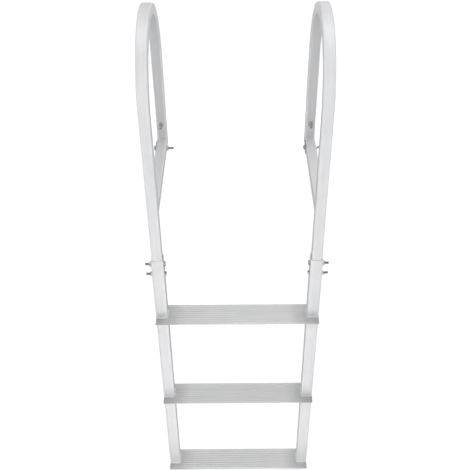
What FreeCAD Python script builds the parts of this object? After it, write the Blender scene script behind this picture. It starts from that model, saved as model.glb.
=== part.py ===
"""Three step dock ladder of square aluminium tube, bolted together from two arched
handrails, two lower rails and three ribbed treads.

Frame: millimetres, +Z up. The origin is the centre of the flat underside of the left
deck tube, which rests on the dock. +X runs from the left side unit to the right one,
and +Y runs from the water in over the dock. The climber faces +Y.
"""
import FreeCAD, Part
import os
import Sketcher

SIZES = {
    "overall_width": 412.0,
    "step_spacing": 305.0,
    "deck_height": 313.0,
    "handrail_height": 427.0,
    "leg_spacing": 315.0,
    "rail_size": 30.0,
    "rail_wall": 1.6,
    "rail_corner": 3.0,
    "slip_clearance": 0.9,
    "front_clearance": 0.15,
    "tube_wall": 1.6,
    "tube_corner": 1.6,
    "rim_height": 185.5,
    "insert_depth": 75.0,
    "rail_below_step": 25.0,
    "upper_bolt_drop": 19.0,
    "rail_bolt_spacing": 31.0,
    "tread_front": 22.4,
    "tread_back": 18.6,
    "tread_plate": 3.0,
    "tread_web": 3.0,
    "tread_web_drop": 17.0,
    "tread_edge_radius": 1.0,
    "rib_height": 1.0,
    "rib_base": 4.2,
    "rib_crest": 1.4,
    "rib_pitch": 7.6,
    "weld_clearance": 0.1,
    "connector_clearance": 0.2,
    "connector_arm": 58.0,
    "connector_radius": 5.0,
    "leg_bolt_rise": 38.0,
    "deck_bolt_reach": 30.0,
    "bolt_diameter": 6.35,
    "bolt_clearance": 0.15,
    "bolt_length": 45.5,
    "leg_bolt_length": 44.0,
    "head_across_flats": 11.1,
    "head_height": 4.2,
    "nut_height": 5.6,
    "thread_clearance": 0.05,
    "plate_length": 32.0,
    "plate_height": 24.0,
    "plate_thickness": 2.0,
    "plug_flange": 2.5,
    "plug_depth": 18.0,
    "plug_clearance": 0.2,
}
RIB_COUNT = 9
SAME_PLACE = 1e-4
STEP_NAMES = ("top", "middle", "bottom")
SIDE_NAMES = ("left", "right")

# Sizes that follow from the driving ones, as expressions on the sheet
TUBE = "(sizes.rail_size - 2 * sizes.rail_wall - 2 * sizes.slip_clearance)"
FRONT_LEG_Y = f"(-(sizes.leg_spacing + {TUBE}) / 2)"
# The handrail leans on the front wall of the rail that carries it
RAIL_SHIFT = "(sizes.slip_clearance - sizes.front_clearance)"
RAIL_Y = f"({FRONT_LEG_Y} + {RAIL_SHIFT})"
BACK_LEG_Y = f"((sizes.leg_spacing - {TUBE}) / 2)"
BEND_RADIUS = "(sizes.leg_spacing / 2)"
SPRING_Z = f"(sizes.handrail_height - {BEND_RADIUS} - {TUBE} / 2)"
RIM_Z = "(sizes.rim_height - sizes.deck_height)"
HANDRAIL_FOOT_Z = f"({RIM_Z} - sizes.insert_depth)"
BOTTOM_STEP_Z = f"(-sizes.deck_height - {len(STEP_NAMES) - 1} * sizes.step_spacing)"
RAIL_FOOT_Z = f"({BOTTOM_STEP_Z} - sizes.rail_below_step)"
BOLT_HOLE = "(sizes.bolt_diameter + 2 * sizes.bolt_clearance)"
CONNECTOR = f"({TUBE} - 2 * sizes.tube_wall - 2 * sizes.connector_clearance)"
RAIL_BOLT_Z = {
    "upper": f"({RIM_Z} - sizes.upper_bolt_drop)",
    "lower": f"({RIM_Z} - sizes.upper_bolt_drop - sizes.rail_bolt_spacing)",
}
LEG_BOLT_Z = f"({TUBE} + sizes.leg_bolt_rise)"
DECK_BOLT_Y = f"({BACK_LEG_Y} - {TUBE} / 2 - sizes.deck_bolt_reach)"
RAIL_CENTRE_X = "((sizes.overall_width - sizes.rail_size) / 2)"
SIDE_X = {"left": "0", "right": f"(2 * {RAIL_CENTRE_X})"}
STEP_X = RAIL_CENTRE_X

doc = FreeCAD.newDocument("dock_ladder")
parts = []


def make_sheet():
    """Write each driving size into its own cell, under its own name."""
    sheet = doc.addObject("Spreadsheet::Sheet", "sizes")
    for row, (name, value) in enumerate(SIZES.items(), start=1):
        sheet.set(f"A{row}", name)
        sheet.set(f"B{row}", str(value))
        sheet.setAlias(f"B{row}", name)
    doc.recompute()
    return sheet


sheet = make_sheet()


def value(expression):
    """Return what an expression on the sheet comes to, in millimetres."""
    return float(sheet.evalExpression(expression.replace("sizes.", "")))


# Bodies, sketches and features

def make_body(label, x="0", y="0", z="0", rotation=None):
    """Start a body with its place bound to the sheet."""
    body = doc.addObject("PartDesign::Body", label)
    body.Label = label
    if rotation:
        body.Placement.Rotation = rotation
    for axis, expression in zip("xyz", (x, y, z)):
        body.setExpression(f"Placement.Base.{axis}", expression)
    parts.append(body)
    return body


def origin_feature(body, role):
    """Find a plane or an axis of the body's own origin."""
    return next(item for item in body.Origin.OriginFeatures if item.Role == role)


def make_sketch(body, name, plane, height=None, across=None):
    """Start a sketch on one of the body's origin planes, raised or shifted across it."""
    sketch = body.newObject("Sketcher::SketchObject", f"{body.Name}_{name}")
    sketch.AttachmentSupport = [(origin_feature(body, plane), "")]
    sketch.MapMode = "FlatFace"
    if height:
        sketch.setExpression("AttachmentOffset.Base.z", height)
    if across:
        sketch.setExpression("AttachmentOffset.Base.y", across)
    return sketch


def bind(sketch, constraint, name, expression):
    """Add a named dimension and bind it to the sheet."""
    index = sketch.addConstraint(constraint)
    sketch.renameConstraint(index, name)
    sketch.setExpression(f"Constraints.{name}", expression)


def draw_rounded_square(sketch, name, side, corner):
    """Draw a square with round corners about the sketch's origin."""
    half = value(side) / 2
    radius = value(corner)
    inner = half - radius
    corners = ((inner, -inner, 270), (inner, inner, 0), (-inner, inner, 90), (-inner, -inner, 180))
    turns = [FreeCAD.Vector(x, y, 0) for x, y in ((0, -1), (1, 0), (0, 1), (-1, 0))]
    lines = []
    arcs = []
    for index, (x, y, start) in enumerate(corners):
        before_x, before_y, _ = corners[index - 1]
        offset = turns[index] * radius
        first = FreeCAD.Vector(before_x, before_y, 0) + offset
        last = FreeCAD.Vector(x, y, 0) + offset
        lines.append(sketch.addGeometry(Part.LineSegment(first, last), False))
        circle = Part.Circle(FreeCAD.Vector(x, y, 0), FreeCAD.Vector(0, 0, 1), radius)
        begin = FreeCAD.Units.Quantity(f"{start} deg").getValueAs("rad").Value
        quarter = FreeCAD.Units.Quantity("90 deg").getValueAs("rad").Value
        arcs.append(sketch.addGeometry(Part.ArcOfCircle(circle, begin, begin + quarter), False))
    for index in range(4):
        following = lines[(index + 1) % 4]
        sketch.addConstraint(Sketcher.Constraint("Tangent", lines[index], 2, arcs[index], 1))
        sketch.addConstraint(Sketcher.Constraint("Tangent", arcs[index], 2, following, 1))
    for index in range(1, 4):
        sketch.addConstraint(Sketcher.Constraint("Equal", arcs[0], arcs[index]))
    sketch.addConstraint(Sketcher.Constraint("Symmetric", lines[0], 1, lines[0], 2, -2))
    sketch.addConstraint(Sketcher.Constraint("Symmetric", lines[1], 1, lines[1], 2, -1))
    sketch.addConstraint(Sketcher.Constraint("Horizontal", lines[2]))
    sketch.addConstraint(Sketcher.Constraint("Vertical", lines[3]))
    bind(sketch, Sketcher.Constraint("Radius", arcs[0], radius), f"{name}_corner", corner)
    width = Sketcher.Constraint("DistanceX", lines[3], 1, lines[1], 1, 2 * half)
    bind(sketch, width, f"{name}_width", side)
    depth = Sketcher.Constraint("DistanceY", lines[0], 1, lines[2], 1, 2 * half)
    bind(sketch, depth, f"{name}_depth", side)


def draw_circle(sketch, name, x, y, diameter):
    """Draw a circle with its centre and diameter bound to the sheet."""
    centre = FreeCAD.Vector(value(x), value(y), 0)
    circle = Part.Circle(centre, FreeCAD.Vector(0, 0, 1), value(diameter) / 2)
    index = sketch.addGeometry(circle, False)
    bind(sketch, Sketcher.Constraint("Diameter", index, value(diameter)), f"{name}_diameter", diameter)
    bind(sketch, Sketcher.Constraint("DistanceX", -1, 1, index, 3, centre.x), f"{name}_x", x)
    bind(sketch, Sketcher.Constraint("DistanceY", -1, 1, index, 3, centre.y), f"{name}_y", y)


def draw_outline(sketch, name, corners):
    """Draw a closed outline from corners given as pairs of expressions."""
    points = [FreeCAD.Vector(value(x), value(y), 0) for x, y in corners]
    lines = []
    for index, point in enumerate(points):
        following = points[(index + 1) % len(points)]
        lines.append(sketch.addGeometry(Part.LineSegment(point, following), False))
    for index, line in enumerate(lines):
        following = lines[(index + 1) % len(lines)]
        sketch.addConstraint(Sketcher.Constraint("Coincident", line, 2, following, 1))
    for index, (x, y) in enumerate(corners):
        across = Sketcher.Constraint("DistanceX", -1, 1, lines[index], 1, points[index].x)
        bind(sketch, across, f"{name}_{index}_x", x)
        along = Sketcher.Constraint("DistanceY", -1, 1, lines[index], 1, points[index].y)
        bind(sketch, along, f"{name}_{index}_y", y)


def draw_rectangle(sketch, name, width, height):
    """Draw a rectangle about the sketch's origin."""
    half_width = f"({width} / 2)"
    half_height = f"({height} / 2)"
    draw_outline(sketch, name, (
        (f"-{half_width}", f"-{half_height}"),
        (half_width, f"-{half_height}"),
        (half_width, half_height),
        (f"-{half_width}", half_height),
    ))


def draw_hexagon(sketch, across_flats):
    """Draw a regular hexagon about the sketch's origin, by its width across flats."""
    radius = value(across_flats) / 3 ** 0.5
    points = [FreeCAD.Vector(radius, 0, 0)]
    turn = FreeCAD.Rotation(FreeCAD.Vector(0, 0, 1), 60)
    for _ in range(5):
        points.append(turn.multVec(points[-1]))
    sides = [
        sketch.addGeometry(Part.LineSegment(points[index], points[(index + 1) % 6]), False)
        for index in range(6)
    ]
    circle = Part.Circle(FreeCAD.Vector(0, 0, 0), FreeCAD.Vector(0, 0, 1), radius)
    round_corners = sketch.addGeometry(circle, True)
    sketch.addConstraint(Sketcher.Constraint("Coincident", round_corners, 3, -1, 1))
    for index in range(6):
        following = sides[(index + 1) % 6]
        sketch.addConstraint(Sketcher.Constraint("Coincident", sides[index], 2, following, 1))
        sketch.addConstraint(Sketcher.Constraint("PointOnObject", sides[index], 1, round_corners))
    for index in range(1, 6):
        sketch.addConstraint(Sketcher.Constraint("Equal", sides[0], sides[index]))
    sketch.addConstraint(Sketcher.Constraint("PointOnObject", sides[0], 1, -1))
    corner_to_corner = f"({across_flats} * 2 / sqrt(3))"
    across = Sketcher.Constraint("Diameter", round_corners, 2 * radius)
    bind(sketch, across, "across_corners", corner_to_corner)


def pad(body, sketch, length, reverse=False, both_ways=False):
    """Pad a sketch, one way or half the length each way."""
    feature = body.newObject("PartDesign::Pad", f"{sketch.Name}_pad")
    feature.Profile = sketch
    feature.setExpression("Length", length)
    feature.Reversed = reverse
    if both_ways:
        feature.SideType = "Symmetric"
    body.Tip = feature
    return feature


def pocket(body, sketch, length=None):
    """Cut a sketch out of the body, half the length each way or right through."""
    before = solid_volume(body)
    feature = body.newObject("PartDesign::Pocket", f"{sketch.Name}_pocket")
    feature.Profile = sketch
    feature.SideType = "Symmetric"
    if length:
        feature.setExpression("Length", length)
    else:
        feature.Type = "ThroughAll"
    body.Tip = feature
    if not solid_volume(body) < before:
        raise ValueError(f"{feature.Name} cuts nothing")
    return feature


def solid_volume(body):
    """Return the body's volume after a fresh recompute."""
    doc.recompute()
    return body.Shape.Volume


def fillet(body, radius, wanted):
    """Round the edges whose middle point passes the test."""
    doc.recompute()
    base = body.Tip
    edges = base.Shape.Edges
    names = [f"Edge{index}" for index, edge in enumerate(edges, start=1) if wanted(edge)]
    feature = body.newObject("PartDesign::Fillet", f"{base.Name}_fillet")
    feature.Base = (base, names)
    feature.setExpression("Radius", radius)
    body.Tip = feature
    return feature


def draw_bore(sketch, side, wall):
    """Draw a square tube's plain bore."""
    bore = f"({side} - 2 * {wall})"
    draw_rectangle(sketch, "bore", bore, bore)


def draw_tube_section(sketch):
    """Draw the handrail's tube: small flats stand for its eased corners."""
    half = f"({TUBE} / 2)"
    flat = f"({TUBE} / 2 - sizes.tube_corner)"
    draw_outline(sketch, "outer", (
        (f"-{flat}", f"-{half}"),
        (flat, f"-{half}"),
        (half, f"-{flat}"),
        (half, flat),
        (flat, half),
        (f"-{flat}", half),
        (f"-{half}", flat),
        (f"-{half}", f"-{flat}"),
    ))
    draw_bore(sketch, TUBE, "sizes.tube_wall")


# Lower rails

def make_lower_rail(side):
    """Straight tube that carries the treads, open at the top for the handrail."""
    body = make_body(f"{side}_lower_rail", SIDE_X[side], RAIL_Y, RAIL_FOOT_Z)
    section = make_sketch(body, "section", "XY_Plane")
    draw_rounded_square(section, "outer", "sizes.rail_size", "sizes.rail_corner")
    draw_bore(section, "sizes.rail_size", "sizes.rail_wall")
    pad(body, section, f"{RIM_Z} - {RAIL_FOOT_Z}")
    holes = make_sketch(body, "bolt_holes", "YZ_Plane")
    for name, height in RAIL_BOLT_Z.items():
        draw_circle(holes, name, "0", f"({height} - {RAIL_FOOT_Z})", BOLT_HOLE)
    pocket(body, holes)


# Handrails

def add_bend(body, spring):
    """Turn the tube half round, about an axis midway between its two legs."""
    sketch = make_sketch(body, "bend", "XY_Plane", spring)
    draw_tube_section(sketch)
    half = value(TUBE) / 2
    radius = value(BEND_RADIUS)
    first = FreeCAD.Vector(-half, radius, 0)
    last = FreeCAD.Vector(half, radius, 0)
    axis = sketch.addGeometry(Part.LineSegment(first, last), True)
    sketch.addConstraint(Sketcher.Constraint("Horizontal", axis))
    start = Sketcher.Constraint("DistanceX", axis, 1, -1, 1, half)
    bind(sketch, start, "axis_start", f"{TUBE} / 2")
    length = Sketcher.Constraint("DistanceX", axis, 1, axis, 2, 2 * half)
    bind(sketch, length, "axis_length", TUBE)
    away = Sketcher.Constraint("DistanceY", -1, 1, axis, 1, radius)
    bind(sketch, away, "axis_away", BEND_RADIUS)
    bend = body.newObject("PartDesign::Revolution", f"{sketch.Name}_turn")
    bend.Profile = sketch
    bend.ReferenceAxis = (sketch, ["Axis0"])
    bend.Angle = 180
    bend.Reversed = True
    body.Tip = bend


def make_handrail(side):
    """Bent tube: a leg in the lower rail, the arch and a leg down to the deck tube."""
    body = make_body(f"{side}_handrail", SIDE_X[side], FRONT_LEG_Y, HANDRAIL_FOOT_Z)
    spring = f"({SPRING_Z} - {HANDRAIL_FOOT_Z})"
    front_leg = make_sketch(body, "front_leg", "XY_Plane")
    draw_tube_section(front_leg)
    pad(body, front_leg, spring)
    add_bend(body, spring)
    back_leg = make_sketch(body, "back_leg", "XY_Plane", spring, "sizes.leg_spacing")
    draw_tube_section(back_leg)
    pad(body, back_leg, SPRING_Z, reverse=True)
    front_face = f"(sizes.leg_spacing - {TUBE} / 2)"
    back_face = f"(sizes.leg_spacing + {TUBE} / 2)"
    deck_top = f"({TUBE} - {HANDRAIL_FOOT_Z})"
    deck_bottom = f"(-{HANDRAIL_FOOT_Z})"
    mitre = make_sketch(body, "mitre", "YZ_Plane")
    draw_outline(mitre, "mitre", (
        (front_face, deck_top),
        (back_face, deck_bottom),
        (front_face, deck_bottom),
    ))
    pocket(body, mitre)
    rail_holes = make_sketch(body, "rail_bolt_holes", "YZ_Plane")
    for name, height in RAIL_BOLT_Z.items():
        rise = f"({height} - {HANDRAIL_FOOT_Z})"
        draw_circle(rail_holes, name, RAIL_SHIFT, rise, BOLT_HOLE)
    pocket(body, rail_holes)
    leg_hole = make_sketch(body, "leg_bolt_hole", "XZ_Plane", "-sizes.leg_spacing")
    draw_circle(leg_hole, "leg", "0", f"({LEG_BOLT_Z} - {HANDRAIL_FOOT_Z})", BOLT_HOLE)
    pocket(body, leg_hole, f"{TUBE} + 2 * sizes.tube_wall")


# Deck tubes

def make_deck_tube(side):
    """Level tube that rests on the dock, from the front leg to the mitred rear corner."""
    front = f"({FRONT_LEG_Y} + {TUBE} / 2)"
    body = make_body(f"{side}_deck_tube", SIDE_X[side], front, f"{TUBE} / 2")
    section = make_sketch(body, "section", "XZ_Plane")
    draw_tube_section(section)
    pad(body, section, "sizes.leg_spacing", reverse=True)
    corner = f"(sizes.leg_spacing - {TUBE})"
    rear = "sizes.leg_spacing"
    mitre = make_sketch(body, "mitre", "YZ_Plane")
    draw_outline(mitre, "mitre", (
        (corner, f"{TUBE} / 2"),
        (rear, f"-{TUBE} / 2"),
        (rear, f"{TUBE} / 2"),
    ))
    pocket(body, mitre)
    hole = make_sketch(body, "bolt_hole", "YZ_Plane")
    draw_circle(hole, "deck", f"({DECK_BOLT_Y} - {front})", "0", BOLT_HOLE)
    pocket(body, hole)


# Corner connectors

def make_connector(side):
    """Elbow inside the mitred rear corner, one arm in each tube."""
    body = make_body(f"{side}_corner_connector", SIDE_X[side], BACK_LEG_Y, f"{TUBE} / 2")
    half = f"({CONNECTOR} / 2)"
    reach = f"({TUBE} / 2 + sizes.connector_arm)"
    outline = make_sketch(body, "outline", "YZ_Plane")
    draw_outline(outline, "elbow", (
        (half, f"-{half}"),
        (half, reach),
        (f"-{half}", reach),
        (f"-{half}", half),
        (f"-{reach}", half),
        (f"-{reach}", f"-{half}"),
    ))
    pad(body, outline, CONNECTOR, both_ways=True)
    outer = value(half)
    fillet(body, "sizes.connector_radius", lambda edge: is_across(edge) and at(edge, outer, -outer))
    deck_hole = make_sketch(body, "deck_bolt_hole", "YZ_Plane")
    draw_circle(deck_hole, "deck", f"({DECK_BOLT_Y} - {BACK_LEG_Y})", "0", BOLT_HOLE)
    pocket(body, deck_hole)
    leg_hole = make_sketch(body, "leg_bolt_hole", "XZ_Plane")
    draw_circle(leg_hole, "leg", "0", f"({LEG_BOLT_Z} - {TUBE} / 2)", BOLT_HOLE)
    pocket(body, leg_hole)


def is_across(edge):
    """Tell whether a straight edge runs along X."""
    first, last = edge.Vertexes[0].Point, edge.Vertexes[-1].Point
    return abs(abs(first.x - last.x) - edge.Length) < SAME_PLACE


def at(edge, y, z):
    """Tell whether an edge that runs along X lies at the given Y and Z."""
    centre = edge.CenterOfMass
    return abs(centre.y - y) < SAME_PLACE and abs(centre.z - z) < SAME_PLACE


# Plates under the deck bolts

def make_deck_plate(side):
    """Flat plate between the left face of the deck tube and the bolt's head."""
    tube_face = f"({SIDE_X[side]} - {TUBE} / 2)"
    body = make_body(f"{side}_deck_plate", tube_face, DECK_BOLT_Y, f"{TUBE} / 2")
    outline = make_sketch(body, "outline", "YZ_Plane")
    draw_rectangle(outline, "plate", "sizes.plate_length", "sizes.plate_height")
    draw_circle(outline, "bolt", "0", "0", BOLT_HOLE)
    pad(body, outline, "sizes.plate_thickness", reverse=True)


# Treads

def make_step(name, index):
    """Extruded tread: ribbed plate with two webs that clasp both lower rails."""
    level = f"(-sizes.deck_height - {index} * sizes.step_spacing)"
    body = make_body(f"{name}_step", STEP_X, RAIL_Y, level)
    front = "(-sizes.rail_size / 2 - sizes.tread_front)"
    back = "(sizes.rail_size / 2 + sizes.tread_back)"
    web_inside = "(sizes.rail_size / 2 + sizes.weld_clearance)"
    web_outside = f"({web_inside} + sizes.tread_web)"
    plate_top = "(-sizes.rib_height)"
    plate_bottom = "(-sizes.rib_height - sizes.tread_plate)"
    web_bottom = f"({plate_bottom} - sizes.tread_web_drop)"
    profile = make_sketch(body, "profile", "YZ_Plane")
    draw_outline(profile, "tread", (
        (front, plate_top),
        (back, plate_top),
        (back, plate_bottom),
        (web_outside, plate_bottom),
        (web_outside, web_bottom),
        (web_inside, web_bottom),
        (web_inside, plate_bottom),
        (f"-{web_inside}", plate_bottom),
        (f"-{web_inside}", web_bottom),
        (f"-{web_outside}", web_bottom),
        (f"-{web_outside}", plate_bottom),
        (front, plate_bottom),
    ))
    pad(body, profile, "sizes.overall_width", both_ways=True)
    edge_places = [(value(y), value(z)) for y in (front, back) for z in (plate_top, plate_bottom)]
    fillet(body, "sizes.tread_edge_radius",
           lambda edge: is_across(edge) and any(at(edge, y, z) for y, z in edge_places))
    add_ribs(body, plate_top)
    cut_notches(body)


def add_ribs(body, plate_top):
    """Add the long ribs of the tread's upper face, evenly about its middle."""
    middle = "((sizes.tread_back - sizes.tread_front) / 2)"
    first = f"({middle} - sizes.rib_pitch * {RIB_COUNT - 1} / 2)"
    rib = make_sketch(body, "rib", "YZ_Plane")
    draw_outline(rib, "rib", (
        (f"{first} - sizes.rib_base / 2", plate_top),
        (f"{first} + sizes.rib_base / 2", plate_top),
        (f"{first} + sizes.rib_crest / 2", "0"),
        (f"{first} - sizes.rib_crest / 2", "0"),
    ))
    first_rib = pad(body, rib, "sizes.overall_width", both_ways=True)
    doc.recompute()
    ribs = body.newObject("PartDesign::LinearPattern", f"{body.Name}_ribs")
    ribs.Originals = [first_rib]
    ribs.Direction = (origin_feature(body, "Y_Axis"), [""])
    ribs.Mode = "Extent"
    ribs.setExpression("Length", f"sizes.rib_pitch * {RIB_COUNT - 1}")
    ribs.Occurrences = RIB_COUNT
    body.Tip = ribs
    doc.recompute()


def cut_notches(body):
    """Cut the tread open at both ends where the lower rails pass."""
    notches = make_sketch(body, "notches", "XY_Plane")
    half_width = "(sizes.overall_width / 2)"
    inside = f"({half_width} - sizes.rail_size - sizes.weld_clearance)"
    outside = f"({half_width} + sizes.rail_size)"
    half_rail = "(sizes.rail_size / 2 + sizes.weld_clearance)"
    for sign in ("", "-"):
        draw_outline(notches, "left" if sign else "right", (
            (f"{sign}{inside}", f"-{half_rail}"),
            (f"{sign}{outside}", f"-{half_rail}"),
            (f"{sign}{outside}", half_rail),
            (f"{sign}{inside}", half_rail),
        ))
    pocket(body, notches, "4 * (sizes.rib_height + sizes.tread_plate)")


# Foot plugs

def make_foot_plug(side):
    """Plug that closes the lower end of a lower rail."""
    body = make_body(f"{side}_foot_plug", SIDE_X[side], RAIL_Y, RAIL_FOOT_Z)
    cap = make_sketch(body, "cap", "XY_Plane")
    draw_rounded_square(cap, "cap", "sizes.rail_size", "sizes.rail_corner")
    pad(body, cap, "sizes.plug_flange", reverse=True)
    stub = make_sketch(body, "stub", "XY_Plane")
    stub_side = "(sizes.rail_size - 2 * sizes.rail_wall - 2 * sizes.plug_clearance)"
    draw_rectangle(stub, "stub", stub_side, stub_side)
    pad(body, stub, "sizes.plug_depth")


# Bolts and nuts

def make_bolt(label, start, rotation, length):
    """Hexagon bolt: the underside of its head is at its own origin."""
    body = make_body(label, *start, rotation)
    shank = make_sketch(body, "shank", "XY_Plane")
    draw_circle(shank, "shank", "0", "0", "sizes.bolt_diameter")
    pad(body, shank, length)
    head = make_sketch(body, "head", "XY_Plane")
    draw_hexagon(head, "sizes.head_across_flats")
    pad(body, head, "sizes.head_height", reverse=True)


def make_nut(label, start, rotation):
    """Hexagon nut: its bearing face is at its own origin."""
    body = make_body(label, *start, rotation)
    outline = make_sketch(body, "outline", "XY_Plane")
    draw_hexagon(outline, "sizes.head_across_flats")
    bore = "(sizes.bolt_diameter + 2 * sizes.thread_clearance)"
    draw_circle(outline, "bore", "0", "0", bore)
    pad(body, outline, "sizes.nut_height")


def make_bolt_and_nut(name, head, nut, rotation, length="sizes.bolt_length"):
    """Set a bolt's head and its nut on the same axis, each against its own face."""
    make_bolt(f"{name}_bolt", head, rotation, length)
    make_nut(f"{name}_nut", nut, rotation)


def make_fasteners(side):
    """Two bolts through the lower rail and one through each arm of the connector."""
    towards_right = FreeCAD.Rotation(FreeCAD.Vector(0, 0, 1), FreeCAD.Vector(1, 0, 0))
    towards_left = FreeCAD.Rotation(FreeCAD.Vector(0, 0, 1), FreeCAD.Vector(-1, 0, 0))
    towards_front = FreeCAD.Rotation(FreeCAD.Vector(0, 0, 1), FreeCAD.Vector(0, -1, 0))
    outward = {"left": towards_left, "right": towards_right}
    inner_sign = {"left": "+", "right": "-"}
    outer_sign = {"left": "-", "right": "+"}
    centre = SIDE_X[side]
    for place, height in RAIL_BOLT_Z.items():
        head = (f"{centre} {inner_sign[side]} sizes.rail_size / 2", RAIL_Y, height)
        nut = (f"{centre} {outer_sign[side]} sizes.rail_size / 2", RAIL_Y, height)
        make_bolt_and_nut(f"{side}_{place}_rail", head, nut, outward[side])
    plate_face = f"{centre} - {TUBE} / 2 - sizes.plate_thickness"
    deck_head = (plate_face, DECK_BOLT_Y, f"{TUBE} / 2")
    deck_nut = (f"{centre} + {TUBE} / 2", DECK_BOLT_Y, f"{TUBE} / 2")
    make_bolt_and_nut(f"{side}_deck", deck_head, deck_nut, towards_right)
    leg_head = (centre, f"{BACK_LEG_Y} + {TUBE} / 2", LEG_BOLT_Z)
    leg_nut = (centre, f"{BACK_LEG_Y} - {TUBE} / 2", LEG_BOLT_Z)
    leg_length = "sizes.leg_bolt_length"
    make_bolt_and_nut(f"{side}_leg", leg_head, leg_nut, towards_front, leg_length)


def check_parts():
    """Stop when any object failed or any sub-part has no valid solid."""
    for item in doc.Objects:
        if "Invalid" in item.State or "Error" in item.State:
            raise ValueError(f"{item.Label} failed: {item.State}")
    for body in parts:
        shape = body.Shape
        if shape.isNull() or not shape.isValid() or len(shape.Solids) != 1:
            raise ValueError(f"{body.Label} is not one valid solid")


def write_parts():
    """Write one STEP file for each sub-part."""
    os.makedirs("parts", exist_ok=True)
    for body in parts:
        body.Shape.exportStep(f"parts/{body.Label}.step")
        print(body.Label, round(body.Shape.Volume), "mm3")


for side_name in SIDE_NAMES:
    make_lower_rail(side_name)
    make_handrail(side_name)
    make_deck_tube(side_name)
    make_connector(side_name)
    make_foot_plug(side_name)
    make_deck_plate(side_name)
    make_fasteners(side_name)
for step_index, step_name in enumerate(STEP_NAMES):
    make_step(step_name, step_index)
doc.recompute()
check_parts()
write_parts()
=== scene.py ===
"""Looks of the three step dock ladder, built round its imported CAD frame.

Everything is in metres in the frame's own axes: +Z up, +X from the left side unit to
the right one and +Y from the water in over the dock. The tubes, treads, plates, plugs
and corner connectors keep their CAD shapes and get their finishes here. The bolts,
nuts and weld beads are modelled here.
"""

import logging
import math
from dataclasses import dataclass, field
from enum import Enum
from typing import Callable, Sequence

import bmesh
import bpy
from bmesh.types import BMesh
from bpy.types import Material, Node, NodeSocket, NodeTree
from mathutils import Euler, Matrix, Vector


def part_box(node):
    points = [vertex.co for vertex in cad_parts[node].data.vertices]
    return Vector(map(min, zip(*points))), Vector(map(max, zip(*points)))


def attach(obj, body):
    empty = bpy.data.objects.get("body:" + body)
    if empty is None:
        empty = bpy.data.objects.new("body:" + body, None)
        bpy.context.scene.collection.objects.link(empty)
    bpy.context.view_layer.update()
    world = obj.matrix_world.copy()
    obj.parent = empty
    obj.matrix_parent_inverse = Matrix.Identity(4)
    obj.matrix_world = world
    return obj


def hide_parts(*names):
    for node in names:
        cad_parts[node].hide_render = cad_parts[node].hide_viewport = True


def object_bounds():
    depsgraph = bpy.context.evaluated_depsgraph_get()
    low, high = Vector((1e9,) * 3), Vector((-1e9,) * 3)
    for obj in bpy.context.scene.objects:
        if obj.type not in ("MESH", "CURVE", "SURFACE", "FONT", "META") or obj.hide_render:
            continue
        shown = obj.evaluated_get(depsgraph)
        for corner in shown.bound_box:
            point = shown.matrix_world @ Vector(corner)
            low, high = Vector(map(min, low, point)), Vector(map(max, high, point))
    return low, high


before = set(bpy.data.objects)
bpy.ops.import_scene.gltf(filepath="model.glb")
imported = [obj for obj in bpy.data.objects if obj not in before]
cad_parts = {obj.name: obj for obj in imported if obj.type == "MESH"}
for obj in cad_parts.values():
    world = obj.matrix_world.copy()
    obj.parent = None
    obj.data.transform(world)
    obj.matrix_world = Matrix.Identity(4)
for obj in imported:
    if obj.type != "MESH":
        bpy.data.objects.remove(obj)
CAD_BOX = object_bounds()
BODY = "root"
LOG = logging.getLogger("dock_ladder")

Pair = tuple[float, float]
Tone = tuple[float, float, float]
Point = tuple[float, float, float]
Path = Sequence[tuple[Vector, Vector]]
Rings = list[list[Vector]]
WHITE = (1.0, 1.0, 1.0, 1.0)


class Side(Enum):
    """The two side units."""

    LEFT = "left"
    RIGHT = "right"


class Level(Enum):
    """The three treads."""

    TOP = "top"
    MIDDLE = "middle"
    BOTTOM = "bottom"


class Facing(Enum):
    """The way a bolt's shank points."""

    LEFTWARD = (-1.0, 0.0, 0.0)
    RIGHTWARD = (1.0, 0.0, 0.0)
    FRONTWARD = (0.0, -1.0, 0.0)


class Run(Enum):
    """The way a tube's or tread's die lines run."""

    UPRIGHT = "upright"
    LEVEL = "level"
    ACROSS = "across"
    BENT = "bent"


# The angle in degrees at which each bolt and nut was left when it was tightened
SPANNER_TURNS = {
    Side.LEFT: {"upper_rail": 8.0, "lower_rail": 37.0, "deck": 52.0, "leg": 21.0},
    Side.RIGHT: {"upper_rail": 44.0, "lower_rail": 17.0, "deck": 29.0, "leg": 5.0},
}


# Node trees


# Numbers of a Mix node's colour sockets, because it gives several sockets one name
MIX_SHARE, MIX_FIRST, MIX_SECOND, MIX_RESULT = 0, 6, 7, 2


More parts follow.
